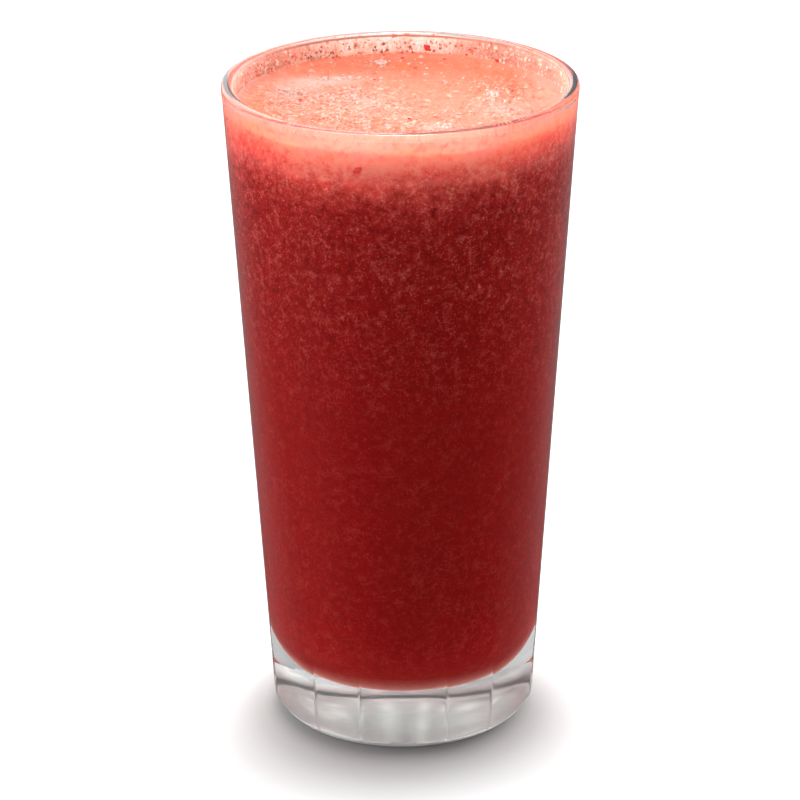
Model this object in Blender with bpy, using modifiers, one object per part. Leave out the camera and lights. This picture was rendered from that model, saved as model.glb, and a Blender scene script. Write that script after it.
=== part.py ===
"""Mixed berry juice in a tall, flaring tumbler.

The glass has a thick clear foot, and six soft panels pressed into its outside that fade as
they rise. Dark juice fills it, and a pale head of froth with bubbles and berry flecks lies on
top, a little below the rim. Lengths are in metres, Z points up, -Y is the front, and the
origin is the middle of the foot, on the surface that the glass stands on.
"""

import math
import random

import bmesh
import bpy
import numpy as np

# Driving dimensions of the glass
HEIGHT = 0.156
RIM_RADIUS = 0.041
FOOT_RADIUS = 0.0308  # where the straight side would meet the table
WALL = 0.0025
HEEL = 0.0058  # radius of the rounded edge round the foot
FLOOR = 0.012  # thickness of the clear foot in the middle
CORNER_WIDTH = 0.0165  # the cavity's bottom corner is a quarter of an ellipse
CORNER_HEIGHT = 0.024
RECESS_RADIUS = 0.0222  # the shallow hollow under the foot
RECESS_DEPTH = 0.0014

# Panels on the outside of the glass
PANELS = 6
PANEL_HALF_ANGLE = math.radians(18.75)
PANEL_PRESS = 0.55  # 1 would make each panel quite flat
PANEL_FOOT = 0.006  # height over which a panel grows out of the round heel
PANEL_EVEN = 0.016  # up to here the panel is at its deepest
PANEL_TOP = 0.100  # here it has faded into the round side

# The drink
LEVEL = HEIGHT - 0.006
FROTH_DEPTH = 0.007
GAP = 0.0003
SWELL = 0.00012
EDGE_RISE = 0.00035
BUBBLE_RADII = (0.00055, 0.00085)
BUBBLE_RISE = 0.6  # share of its radius by which a bubble stands out, past its middle
EDGE_BUBBLES = 26
FLECK_RADIUS = 0.0011
FLECK_THICKNESS = 0.5

# Where the froth has patches of larger bubbles, as (x, y, how many)
BUBBLE_PATCHES = (
    (-0.0048, 0.0335, 4),
    (-0.0152, 0.0215, 4),
    (-0.0255, 0.0107, 4),
    (-0.0110, -0.0109, 4),
    (0.0214, 0.0075, 4),
    (0.0082, -0.0171, 4),
)
PATCH_SPREAD = 0.0028

# Berry flecks in the froth, as (angle in degrees, share of the froth's radius)
FLECKS = ((80, 0.93), (56, 0.95), (73, 0.90), (196, 0.62), (300, 0.71))

# Turning: the panel edges fall on these steps
STEPS = 48
FIRST_TURN = math.pi / STEPS
FRONT = -math.pi / 2

SEED = 11


def clear_scene():
    for obj in list(bpy.data.objects):
        bpy.data.objects.remove(obj)


def new_collection(name):
    made = bpy.data.collections.new(name)
    bpy.context.scene.collection.children.link(made)
    return made


def new_material(name, colour, roughness, transmission=0.0):
    made = bpy.data.materials.new(name)
    made.use_nodes = True
    shader = made.node_tree.nodes["Principled BSDF"]
    shader.inputs["Base Color"].default_value = (*colour, 1.0)
    shader.inputs["Roughness"].default_value = roughness
    shader.inputs["Metallic"].default_value = 0.0
    shader.inputs["Transmission Weight"].default_value = transmission
    made.diffuse_color = (*colour, 1.0)
    return made


def smooth_step(low, high, value):
    """0 below low, 1 above high, and an even S between them."""
    share = np.clip((value - low) / (high - low), 0, 1)
    return share * share * (3 - 2 * share)


def side_slope():
    return (RIM_RADIUS - FOOT_RADIUS) / HEIGHT


def side_radius(height):
    """Outer radius of the straight, flaring side."""
    return FOOT_RADIUS + side_slope() * height


def bore_radius(height):
    """Inner radius of the wall, above the cavity's bottom corner."""
    return side_radius(height) - WALL


def arc(radius, height, size, start, end, count):
    """Points of a circle of this size about (radius, height), from one angle to another."""
    angles = np.linspace(start, end, count)
    return [(radius + size * math.cos(a), height + size * math.sin(a)) for a in angles]


def cavity_corner(inset, count=8):
    """The quarter ellipse between floor and wall, drawn in by inset, from the floor up."""
    points = []
    for turn in np.linspace(0, math.pi / 2, count):
        height = FLOOR + CORNER_HEIGHT - (CORNER_HEIGHT - inset) * math.cos(turn)
        centre = bore_radius(FLOOR + CORNER_HEIGHT) - CORNER_WIDTH
        lean = side_slope() * (height - FLOOR - CORNER_HEIGHT)
        points.append((centre + lean + (CORNER_WIDTH - inset) * math.sin(turn), height))
    return points


def glass_profile():
    """From the middle of the cavity's floor, over the lip and down to the hollow underneath."""
    lean = math.atan(side_slope())
    lip = WALL / 2
    heel_centre = side_radius(HEEL) - HEEL * math.hypot(1, side_slope())
    inside = [(0, FLOOR)] + cavity_corner(0)
    inside += [(bore_radius(z), z) for z in (0.07, 0.11)]
    over_lip = arc(RIM_RADIUS - lip, HEIGHT - lip, lip, math.pi - lean, -lean, 8)
    outside = [(side_radius(z), z) for z in (0.120, 0.100, 0.078, 0.056, 0.036, 0.024, 0.016, 0.010)]
    heel = arc(heel_centre, HEEL, HEEL, -lean, -math.pi / 2, 7)
    turns = np.linspace(0, math.pi / 2, 6)
    hollow = [(RECESS_RADIUS * math.cos(t), RECESS_DEPTH * math.sin(t)) for t in turns[:-1]]
    return inside + over_lip + outside + heel + hollow + [(0, RECESS_DEPTH)]


def juice_profile():
    """Down the outer side of the juice, from under the froth to the cavity's floor."""
    top = LEVEL - FROTH_DEPTH - GAP
    side = [(bore_radius(z) - GAP, z) for z in (top, 0.11, 0.07)]
    return [(0, top)] + side + cavity_corner(GAP)[::-1] + [(0, FLOOR + GAP)]


def froth_profile():
    """Rings across the top of the froth, then down its side."""
    bottom = LEVEL - FROTH_DEPTH
    edge = bore_radius(LEVEL) - GAP
    round_off = 0.0004
    rings = [(edge * share, LEVEL) for share in np.linspace(0, 0.94, 9)]
    corner = arc(edge - round_off, LEVEL - round_off, round_off, math.pi / 2, 0, 3)
    return rings + corner + [(bore_radius(bottom) - GAP, bottom), (0, bottom)]


def turned(name, profile, parts, finish):
    """A profile of (radius, height) points turned about Z, starting half a step round."""
    mesh = bpy.data.meshes.new(name)
    points = [(r * math.cos(FIRST_TURN), r * math.sin(FIRST_TURN), z) for r, z in profile]
    edges = [(i, i + 1) for i in range(len(points) - 1)]
    mesh.from_pydata(points, edges, [])
    mesh.materials.append(finish)
    obj = bpy.data.objects.new(name, mesh)
    parts.objects.link(obj)
    screw = obj.modifiers.new("Turn", "SCREW")
    screw.axis = "Z"
    screw.steps = STEPS
    screw.render_steps = STEPS
    screw.use_merge_vertices = True
    screw.merge_threshold = 0.00001
    apply_modifiers(obj)
    return obj


def apply_modifiers(obj):
    """Puts the evaluated shape into the object's own mesh."""
    graph = bpy.context.evaluated_depsgraph_get()
    shape = bpy.data.meshes.new_from_object(obj.evaluated_get(graph))
    shape.name = obj.name
    old = obj.data
    obj.modifiers.clear()
    obj.data = shape
    bpy.data.meshes.remove(old)


def points_of(mesh):
    flat = np.empty(len(mesh.vertices) * 3)
    mesh.vertices.foreach_get("co", flat)
    return flat.reshape(-1, 3)


def shade(obj):
    obj.data.shade_smooth()
    obj.data.set_sharp_from_angle(angle=math.radians(40))


def press_panels(obj):
    """Draws the outside in towards the chord of each panel, by a share that fades upwards."""
    points = points_of(obj.data)
    height = points[:, 2]
    radius = np.hypot(points[:, 0], points[:, 1])
    turn = np.arctan2(points[:, 1], points[:, 0]) - FRONT
    spacing = 2 * math.pi / PANELS
    turn = (turn + spacing / 2) % spacing - spacing / 2
    inner = np.where(height < FLOOR, RECESS_RADIUS + GAP, side_radius(height) - WALL / 2)
    pressed = (radius > inner) & (np.abs(turn) <= PANEL_HALF_ANGLE + 1e-6)
    share = PANEL_PRESS * smooth_step(0, PANEL_FOOT, height)
    share = share * (1 - smooth_step(PANEL_EVEN, PANEL_TOP, height))
    flat = math.cos(PANEL_HALF_ANGLE) / np.cos(turn)
    scale = np.where(pressed, 1 - share * (1 - flat), 1)
    points[:, :2] *= scale[:, None]
    obj.data.vertices.foreach_set("co", points.ravel())
    obj.data.update()


def swell_top(obj):
    """Lifts the froth by three crossing waves, and a little where it climbs the wall."""
    points = points_of(obj.data)
    x, y, z = points.T
    edge = bore_radius(LEVEL) - GAP
    waves = np.sin(x * 420 + 1) + np.sin(y * 510 - x * 200) + np.sin(y * 290 + x * 370 + 2)
    rise = SWELL * waves + EDGE_RISE * smooth_step(0.8 * edge, 0.94 * edge, np.hypot(x, y))
    points[:, 2] = np.where(z > LEVEL - 0.001, z + rise, z)
    obj.data.vertices.foreach_set("co", points.ravel())
    obj.data.update()


def add_ball(stock, radius, place, thickness=1.0):
    """A small faceted ball, made flatter by thickness."""
    form = bmesh.new()
    bmesh.ops.create_icosphere(form, subdivisions=2, radius=radius)
    bmesh.ops.scale(form, vec=(1, 1, thickness), verts=form.verts)
    mesh = bpy.data.meshes.new("ball")
    form.to_mesh(mesh)
    form.free()
    obj = bpy.data.objects.new("ball", mesh)
    obj.location = place
    stock.objects.link(obj)


def bubble_places(draw):
    """Bubbles along the wall, evenly but not quite, and loose patches of them."""
    edge = bore_radius(LEVEL) - GAP
    places = []
    for i in range(EDGE_BUBBLES):
        turn = 2 * math.pi * (i + draw.uniform(-0.25, 0.25)) / EDGE_BUBBLES
        reach = edge * draw.uniform(0.86, 0.95)
        places.append((reach * math.cos(turn), reach * math.sin(turn)))
    for x, y, count in BUBBLE_PATCHES:
        first = draw.uniform(0, 2 * math.pi)
        for i in range(count):
            turn = first + 2 * math.pi * i / count
            reach = PATCH_SPREAD * draw.uniform(0.55, 1.0)
            places.append((x + reach * math.cos(turn), y + reach * math.sin(turn)))
    return places


def fuse_bubbles(froth):
    """Joins the bubbles and the berry flecks to the froth, as one solid."""
    stock = new_collection("bubbles")
    draw = random.Random(SEED)
    for x, y in bubble_places(draw):
        radius = draw.uniform(*BUBBLE_RADII)
        add_ball(stock, radius, (x, y, LEVEL + radius * (BUBBLE_RISE - 1) + EDGE_RISE / 2))
    edge = bore_radius(LEVEL) - GAP
    for degrees, share in FLECKS:
        turn = math.radians(degrees)
        place = (edge * share * math.cos(turn), edge * share * math.sin(turn), LEVEL + EDGE_RISE / 2)
        add_ball(stock, FLECK_RADIUS, place, FLECK_THICKNESS)
    union = froth.modifiers.new("Bubbles", "BOOLEAN")
    union.operation = "UNION"
    union.operand_type = "COLLECTION"
    union.collection = stock
    union.solver = "EXACT"
    apply_modifiers(froth)
    for obj in list(stock.objects):
        bpy.data.objects.remove(obj)
    bpy.data.collections.remove(stock)


def make_glass(parts):
    finish = new_material("clear_glass", (0.93, 0.95, 0.94), 0.03, 1.0)
    glass = turned("glass", glass_profile(), parts, finish)
    press_panels(glass)
    shade(glass)


def make_juice(parts):
    finish = new_material("berry_juice", (0.16, 0.006, 0.005), 0.35)
    shade(turned("juice", juice_profile(), parts, finish))


def make_froth(parts):
    finish = new_material("berry_froth", (0.86, 0.38, 0.27), 0.6)
    froth = turned("froth", froth_profile(), parts, finish)
    swell_top(froth)
    fuse_bubbles(froth)
    shade(froth)


def main():
    clear_scene()
    parts = new_collection("mixed_berry_juice")
    make_glass(parts)
    make_juice(parts)
    make_froth(parts)


main()
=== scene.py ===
"""Mixed berry juice in a tall, flaring tumbler, dressed for a studio picture.

The tumbler, the juice and its head of froth are surfaces worked out on grids. Lengths are in
metres, Z points up, -Y is the front, and the origin is the middle of the foot.
"""

import math

import bpy
import numpy as np
from bpy.props import FloatProperty, FloatVectorProperty, PointerProperty
from mathutils import Matrix, Vector


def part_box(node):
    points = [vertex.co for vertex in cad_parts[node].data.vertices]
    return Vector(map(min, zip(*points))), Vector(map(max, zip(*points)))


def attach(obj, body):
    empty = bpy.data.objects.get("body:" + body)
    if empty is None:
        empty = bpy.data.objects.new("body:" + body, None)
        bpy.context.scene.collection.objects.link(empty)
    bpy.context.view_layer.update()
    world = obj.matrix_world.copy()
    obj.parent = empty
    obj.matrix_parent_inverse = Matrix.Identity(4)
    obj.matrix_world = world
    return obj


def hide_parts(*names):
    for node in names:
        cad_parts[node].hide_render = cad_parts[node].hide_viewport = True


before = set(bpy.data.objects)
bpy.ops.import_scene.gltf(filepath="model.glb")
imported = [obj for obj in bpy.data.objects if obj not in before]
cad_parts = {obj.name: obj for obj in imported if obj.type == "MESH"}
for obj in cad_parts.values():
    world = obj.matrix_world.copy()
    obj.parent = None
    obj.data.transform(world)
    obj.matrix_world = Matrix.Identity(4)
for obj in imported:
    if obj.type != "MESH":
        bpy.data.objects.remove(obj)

bl_info = {
    "name": "Mixed Berry Juice",
    "version": (1, 0, 0),
    "blender": (4, 5, 0),
    "location": "View3D > Sidebar > Juice",
    "description": "A tumbler of mixed berry juice with its froth, bubbles and berry flecks",
    "category": "Add Mesh",
}

GLASS_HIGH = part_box("glass")[1]
JUICE_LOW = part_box("juice")[0]
FROTH_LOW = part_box("froth")[0]
HALF_STEP = math.pi / 48  # the solids are turned in 48 steps, from half a step round
SKIN = 0.00006  # how far the drink reaches into the wall, so that no air shows
FILM = 0.00032  # thickness of the film of froth on the wall, low down
FRONT = -math.pi / 2
MM = 0.001
PANELS = 6
PANEL_HALF_ANGLE = math.radians(18.75)

COLOUR = {"subtype": "COLOR", "size": 3, "min": 0.0, "max": 1.0}


class TumblerSettings(bpy.types.PropertyGroup):
    """Sizes of the glass."""

    height: FloatProperty(
        name="Height", description="Height of the glass",
        default=GLASS_HIGH.z, unit="LENGTH",
    )
    rim: FloatProperty(
        name="Rim radius", description="Outer radius at the rim",
        default=GLASS_HIGH.x / math.cos(HALF_STEP), unit="LENGTH",
    )
    foot: FloatProperty(
        name="Foot radius", description="Radius where the straight side would meet the table",
        default=0.0308, unit="LENGTH",
    )
    wall: FloatProperty(name="Wall", description="Thickness of the side", default=0.0025, unit="LENGTH")
    lip_square: FloatProperty(
        name="Lip roundness", description="1 for a round lip, less for one with a flatter top",
        default=0.7, subtype="FACTOR",
    )
    heel: FloatProperty(
        name="Heel", description="Radius of the foot's rounded edge",
        default=0.0058, unit="LENGTH",
    )
    floor: FloatProperty(
        name="Foot thickness", description="Clear glass under the middle of the juice",
        default=JUICE_LOW.z - 0.0003, unit="LENGTH",
    )
    corner_width: FloatProperty(
        name="Corner width", description="Width of the cavity's elliptical bottom corner",
        default=0.0165, unit="LENGTH",
    )
    corner_height: FloatProperty(
        name="Corner height", description="Height of the cavity's elliptical bottom corner",
        default=0.024, unit="LENGTH",
    )
    recess: FloatProperty(
        name="Hollow radius", description="Radius of the shallow hollow underneath",
        default=0.0222, unit="LENGTH",
    )
    recess_depth: FloatProperty(
        name="Hollow depth", description="Depth of the shallow hollow underneath",
        default=0.0014, unit="LENGTH",
    )
    press: FloatProperty(
        name="Panel press", description="How flat each panel is at its deepest, from 0, round, to 1, flat",
        default=0.55, subtype="FACTOR",
    )
    bead: FloatProperty(
        name="Bead", description="Height of the fine bead on a panel's edge",
        default=0.00021, unit="LENGTH",
    )
    bead_width: FloatProperty(
        name="Bead width", description="Half width of that bead",
        default=0.00028, unit="LENGTH",
    )
    panel_top: FloatProperty(
        name="Panel top", description="Height at which the panels have faded away",
        default=0.100, unit="LENGTH",
    )


class DrinkSettings(bpy.types.PropertyGroup):
    """Levels and colours of the drink."""

    level: FloatProperty(name="Level", description="Height of the froth's top", default=0.150, unit="LENGTH")
    froth_foot: FloatProperty(
        name="Froth foot", description="Height at which the froth gives way to the juice",
        default=FROTH_LOW.z, unit="LENGTH",
    )
    film_top: FloatProperty(
        name="Film top", description="Height up to which a film of froth clings to the wall",
        default=0.1552, unit="LENGTH",
    )
    film_rise: FloatProperty(
        name="Film rise", description="How much higher the film reaches at the back",
        default=0.00055, unit="LENGTH",
    )
    deep: FloatVectorProperty(
        name="Juice", description="Colour of the juice low down",
        default=(0.295, 0.0036, 0.0028), **COLOUR,
    )
    pulp: FloatVectorProperty(
        name="Pulp", description="Colour of the pale pulp in it",
        default=(0.80, 0.150, 0.120), **COLOUR,
    )
    foam: FloatVectorProperty(
        name="Froth", description="Colour of the smooth froth",
        default=(0.86, 0.250, 0.142), **COLOUR,
    )
    white: FloatVectorProperty(
        name="Bubbles", description="Colour of the finest, palest bubbles",
        default=(0.93, 0.56, 0.47), **COLOUR,
    )
    orange: FloatVectorProperty(
        name="Wet froth", description="Colour of the froth where it is wet",
        default=(0.90, 0.21, 0.080), **COLOUR,
    )
    coral: FloatVectorProperty(
        name="Coral", description="Colour of the red spots in the froth",
        default=(0.88, 0.10, 0.06), **COLOUR,
    )
    skin: FloatVectorProperty(
        name="Berry skin", description="Colour of the bits of berry skin",
        default=(0.95, 0.045, 0.042), **COLOUR,
    )


class StudioSettings(bpy.types.PropertyGroup):
    """Camera and light."""

    distance: FloatProperty(name="Distance", description="Camera to aim point", default=0.9615, unit="LENGTH")
    elevation: FloatProperty(
        name="Elevation", description="Camera angle above the horizon",
        default=math.radians(21.55), subtype="ANGLE",
    )
    roll: FloatProperty(
        name="Roll", description="Camera turn about its own line of sight",
        default=math.radians(-0.297), subtype="ANGLE",
    )
    pan: FloatProperty(
        name="Pan", description="Camera turn about its own upright axis, to the right",
        default=math.radians(-0.026), subtype="ANGLE",
    )
    aim: FloatProperty(
        name="Aim height", description="Height that the camera aims at",
        default=0.0775, unit="LENGTH",
    )
    lens: FloatProperty(
        name="Lens", description="Focal length in millimetres on a 36 mm sensor",
        default=183.85,
    )
    key: FloatProperty(
        name="Overhead light", description="Power of the overhead light in watts",
        default=11.0,
    )


def tumbler():
    return bpy.context.scene.juice_tumbler


def drink():
    return bpy.context.scene.juice_drink


def studio():
    return bpy.context.scene.juice_studio


# Sums on whole arrays


def smooth_step(low, high, value):
    """0 below low, 1 above high, and the curve 3s^2 - 2s^3 between them."""
    share = np.clip((value - low) / (high - low), 0, 1)
    return share * share * (3 - 2 * share)


def scatter_share(i, j, seed):
    """A number from 0 to 1 for each pair of whole numbers: the fraction of a large sine."""
    return np.abs(np.sin(i * 127.1 + j * 311.7 + seed * 74.7) * 43758.5453) % 1.0


def drift(x, y, size, seed):
    """Smooth noise from -1 to 1: random corners of squares of this size, eased between."""
    i, j = np.floor(x / size), np.floor(y / size)
    u, v = x / size - i, y / size - j
    u, v = u * u * (3 - 2 * u), v * v * (3 - 2 * v)
    low = scatter_share(i, j, seed) * (1 - u) + scatter_share(i + 1, j, seed) * u
    high = scatter_share(i, j + 1, seed) * (1 - u) + scatter_share(i + 1, j + 1, seed) * u
    return 2 * (low * (1 - v) + high * v) - 1


def cells(x, y, size, seed):
    """Distance to the nearest of one random point in each square, and that point's two shares."""
    i, j = np.floor(x / size), np.floor(y / size)
    near = np.full(x.shape, np.inf)
    share, other = np.zeros(x.shape), np.zeros(x.shape)
    for step in range(9):
        a, b = i + step % 3 - 1, j + step // 3 - 1
        px = (a + 0.08 + 0.84 * scatter_share(a, b, seed)) * size
        py = (b + 0.08 + 0.84 * scatter_share(a, b, seed + 1)) * size
        away = np.hypot(x - px, y - py)
        closer = away < near
        near = np.where(closer, away, near)
        share = np.where(closer, scatter_share(a, b, seed + 2), share)
        other = np.where(closer, scatter_share(a, b, seed + 3), other)
    return near, share, other


# Meshes from arrays


def new_object(name, points, faces, smooth=True):
    mesh = bpy.data.meshes.new(name)
    mesh.from_pydata(points.tolist(), [], faces)
    mesh.update()
    if smooth:
        mesh.shade_smooth()
    obj = bpy.data.objects.new(name, mesh)
    bpy.context.scene.collection.objects.link(obj)
    return obj


def ring_faces(rows, turns, first=0):
    """Quads between neighbouring rows of points, closed round the axis, rows running down."""
    i, j = np.meshgrid(np.arange(rows - 1), np.arange(turns), indexing="ij")
    k = (j + 1) % turns
    quads = np.stack([i * turns + j, (i + 1) * turns + j, (i + 1) * turns + k, i * turns + k], -1)
    return (quads.reshape(-1, 4) + first).tolist()


def pole_faces(row, turns, pole, first=0, upper=True):
    """Triangles from one row of points to a single pole point."""
    j = np.arange(turns)
    a, b = first + row * turns + j, first + row * turns + (j + 1) % turns
    tips = np.full(turns, pole)
    fan = np.stack([tips, a, b] if upper else [tips, b, a], -1)
    return fan.tolist()


def round_axis(radius, height, angles):
    """Points (r cos a, r sin a, z)."""
    x, y = radius * np.cos(angles), radius * np.sin(angles)
    return np.stack([x, y, np.broadcast_to(height, x.shape)], -1)


def turned_object(name, radius, height, angles):
    """Rows of points round the axis, each an array over the angles, with a pole at each end.

    The first and the last row have radius 0.
    """
    rows, turns = radius.shape
    inner = round_axis(radius, height, angles)[1:-1].reshape(-1, 3)
    poles = [[0, 0, height.ravel()[0]], [0, 0, height.ravel()[-1]]]
    points = np.vstack([inner, poles])
    faces = ring_faces(rows - 2, turns)
    faces += pole_faces(0, turns, len(inner), upper=True)
    faces += pole_faces(rows - 3, turns, len(inner) + 1, upper=False)
    return new_object(name, points, faces)


def arc(radius, height, size, start, end, count):
    """Points of a circle of this size about (radius, height), as an array of (r, z)."""
    turn = np.linspace(start, end, count)
    return np.stack([radius + size * np.cos(turn), height + size * np.sin(turn)], -1)


# The tumbler's form


def side_slope():
    return (tumbler().rim - tumbler().foot) / tumbler().height


def side_radius(height):
    """Outer radius of the straight side: foot + slope * height."""
    return tumbler().foot + side_slope() * height


def bore_radius(height):
    return side_radius(height) - tumbler().wall


def inner_radius(height):
    """The cavity's radius: the leaning wall, and over it the lip's flattened curve.

    The curve is wall/2 * (1 - (1 - h^p)^(1/p)), with h the share of the lip's height.
    """
    t = tumbler()
    lip = t.wall / 2
    share = np.clip((height - t.height + lip) / lip, 0, 1)
    power = 2 / t.lip_square
    curve = lip * (1 - (1 - share**power) ** (1 / power))
    return bore_radius(np.minimum(height, t.height - lip)) + curve


def cavity_corner(grow, count):
    """A quarter ellipse from the floor up to the wall, let out by grow, leaning with the side."""
    t = tumbler()
    turn = np.linspace(0, math.pi / 2, count)
    top = t.floor + t.corner_height
    height = top - (t.corner_height + grow) * np.cos(turn)
    lean = side_slope() * (height - top)
    radius = bore_radius(top) - t.corner_width + lean + (t.corner_width + grow) * np.sin(turn)
    return np.stack([radius, height], -1)


def straight(radius_at, low, high, count):
    """Points up a side whose radius is a function of height, without the two ends."""
    height = np.linspace(low, high, count + 2)[1:-1]
    return np.stack([radius_at(height), height], -1)


def glass_profile():
    """From the cavity's floor, up the wall, over the lip, down outside and under the foot."""
    t = tumbler()
    lean = math.atan(side_slope())
    lip = t.wall / 2
    corner = cavity_corner(0, 30)
    share = np.linspace(0, 1, 7)[:-1, None]
    floor = corner[0] * share + np.array([0, t.floor]) * (1 - share)
    inside = straight(bore_radius, corner[-1, 1], t.height - lip, 12)
    over_lip = arc(t.rim - lip, t.height - lip, lip, math.pi - lean, -lean, 25)
    flatter = (over_lip - (t.rim - lip, t.height - lip)) / lip
    flatter = np.sign(flatter) * np.abs(flatter) ** t.lip_square
    over_lip = flatter * lip + (t.rim - lip, t.height - lip)
    shoulder = 0.020
    outside = np.vstack([
        straight(side_radius, t.height - lip, shoulder, 44),
        straight(side_radius, shoulder, t.heel, 26),
    ])
    heel_centre = side_radius(t.heel) - t.heel * math.hypot(1, side_slope())
    heel = arc(heel_centre, t.heel, t.heel, -lean, -math.pi / 2, 16)
    share = np.linspace(1, 0, 34)
    hollow = np.stack([t.recess * share, t.recess_depth * (1 - share**3)], -1)
    return np.vstack([floor, corner, inside, over_lip, outside, heel, hollow])


def column_angles():
    """Angles round the glass, closer together beside the panels' edges."""
    edge = math.degrees(PANEL_HALF_ANGLE)
    half = np.concatenate([
        np.linspace(0, edge - 1.2, 13)[:-1],
        np.linspace(edge - 1.2, edge + 1.2, 25)[:-1],
        np.linspace(edge + 1.2, 30, 7),
    ])
    period = np.concatenate([-half[:0:-1], half[:-1]])
    turns = [math.radians(60) * k + np.radians(period) for k in range(PANELS)]
    return np.concatenate(turns) + FRONT


def pressed(radius, height, angles):
    """The outside drawn in by radius * share * (1 - cos h / cos a), with a bead on each edge.

    a is the angle from the middle of the nearest panel and h half a panel. The share fades at
    the heel and up to the panel's top. The bead is a bell curve across the edge, low down only.
    """
    t = tumbler()
    spacing = 2 * math.pi / PANELS
    turn = (angles - FRONT + spacing / 2) % spacing - spacing / 2
    sag = np.clip(1 - math.cos(PANEL_HALF_ANGLE) / np.cos(turn), 0, None)
    share = t.press * smooth_step(0, 0.006, height) * (1 - smooth_step(0.016, t.panel_top, height))
    across = (np.abs(turn) - PANEL_HALF_ANGLE) * radius
    bead = t.bead * np.exp(-((across / t.bead_width) ** 2)) * smooth_step(0.001, 0.004, height)
    bead = bead * (1 - smooth_step(0.011, 0.019, height))
    return radius * (1 - share * sag) + bead


UNDERSIDE_TOP = 2.8 * MM  # the underside's faces lie lower than this
UNDERSIDE_BASE = 0.56
# Painted light and shade on the stippled underside, where it is lighter or darker, as (x, y,
# reach in x, reach in y) in millimetres and a strength, as in the tables of patches on the froth
UNDERSIDE_LIGHT_PATCHES = (
    (-2.9, 10.0, 1.4, 7.5, 0.43),
    (-3.0, -8.0, 1.5, 8.0, 0.29),
    (3.9, 9.0, 1.1, 5.0, 0.43),
    (4.0, -10.0, 1.1, 9.0, 0.41),
    (0.0, 18.5, 5.0, 2.6, 0.51),
    (-9.6, 1.0, 1.6, 5.0, 0.43),
    (-8.8, 8.5, 1.3, 2.0, 0.36),
    (-12.5, -2.0, 1.6, 6.0, 0.32),
    (8.8, 7.0, 1.6, 4.0, 0.46),
    (11.8, -6.0, 2.6, 5.0, 0.26),
    (-5.0, 26.8, 2.2, 2.5, 0.43),
    (0.4, -4.0, 1.2, 14.0, -0.21),
    (2.0, 0.0, 1.0, 10.0, -0.11),
    (-5.8, 3.0, 1.2, 10.0, -0.11),
    (-7.7, -2.0, 1.0, 9.0, -0.17),
    (6.2, -1.0, 0.9, 9.0, -0.11),
    (10.4, 14.0, 3.0, 4.0, -0.40),
    (8.7, 22.7, 3.4, 3.0, -0.38),
    (-16.0, 22.4, 4.0, 4.0, -0.36),
    (-15.0, 12.0, 4.0, 3.0, -0.14),
)


def make_tumbler():
    profile = glass_profile()
    angles = column_angles()
    radius, height = profile[:, :1], profile[:, 1:]
    t = tumbler()
    inner = np.where(height < t.floor, t.recess + 0.0003, side_radius(height) - t.wall / 2)
    outside = radius > inner
    shaped = np.where(outside, pressed(radius, height, angles), radius + 0 * angles)
    glass = turned_object("tumbler", shaped, height, angles)
    places = np.zeros(3 * len(glass.data.vertices))
    glass.data.vertices.foreach_get("co", places)
    x, y, z = places.reshape(-1, 3).T
    # Painted light and shade for the underside: lighter and darker patches, and a ring painted lighter at the
    # hollow's edge, where it lies in shade
    pale = UNDERSIDE_BASE + patch_sum(x, y, UNDERSIDE_LIGHT_PATCHES, 83)
    pale += 0.4 * np.exp(-(((np.hypot(x, y) - t.recess) / 0.0012) ** 2))
    add_attribute(glass, "underside_painted_light", np.clip(pale, 0, 1))
    return glass


# The drink's form


def make_juice():
    """The juice: the cavity let out by a skin's depth, closed level under the froth."""
    top = drink().froth_foot - 0.00001
    corner = cavity_corner(SKIN, 30)
    side = straight(lambda z: bore_radius(z) + SKIN, top, corner[-1, 1], 50)
    corner_radius = bore_radius(top) + SKIN
    upper = np.array([[0, top], [corner_radius, top], [corner_radius, top - 0.00002]])
    floor = np.array([[corner[0, 0] / 2, corner[0, 1]], [0, corner[0, 1]]])
    profile = np.vstack([upper, side, corner[::-1], floor])
    angles = np.linspace(0, 2 * math.pi, 193)[:-1]
    return turned_object("berry_juice", profile[:, :1] + 0 * angles, profile[:, 1:], angles)


# Where the froth is foamy
FOAMY_PATCHES = (
    (-15.0, 2.0, 15.0, 11.0, 0.90),
    (-10.0, -13.0, 22.0, 9.0, 0.85),
    (-29.0, 5.0, 6.0, 7.0, 0.45),
    (24.0, 4.0, 6.0, 13.0, 0.80),
    (24.0, -8.0, 7.0, 6.0, 0.50),
    (8.0, -19.0, 16.0, 5.0, 0.60),
    (-4.8, 34.2, 4.0, 3.0, 0.60),
)
# Where it is whitish, as a thin veil of the finest bubbles, and where it is wet and orange
VEILS = (
    (-17.0, 20.0, 7.0, 3.5, 0.80),
    (-24.0, 16.0, 7.0, 6.0, 0.60),
    (-8.0, 2.0, 5.0, 7.0, 0.45),
    (24.5, -4.0, 6.0, 5.0, 0.50),
    (-25.5, 10.7, 5.0, 4.0, 0.40),
    (8.2, -17.1, 3.5, 3.5, 0.70),
    (33.0, 10.0, 6.0, 12.0, 0.25),
)
WET_PATCHES = (
    (1.0, 30.5, 9.0, 4.0, 0.90),
    (22.5, 24.0, 5.0, 3.5, 0.60),
    (26.2, 11.5, 4.0, 6.0, 0.75),
    (-33.5, 2.0, 3.5, 9.0, 0.60),
    (-30.0, -8.0, 5.0, 5.0, 0.45),
    (6.0, 16.0, 9.0, 12.0, 0.25),
)


def patch_sum(x, y, patches, seed):
    """Soft, ragged patches: the sum of strength * exp(-distance^2), each edge torn by noise."""
    torn = 1 + 0.45 * drift(x, y, 0.0042, seed) + 0.35 * drift(x, y, 0.0016, seed + 1)
    total = np.zeros(np.shape(x))
    for px, py, rx, ry, strength in patches:
        away = ((x / MM - px) / rx) ** 2 + ((y / MM - py) / ry) ** 2
        total += strength * np.exp(-away * torn)
    return total


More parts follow.
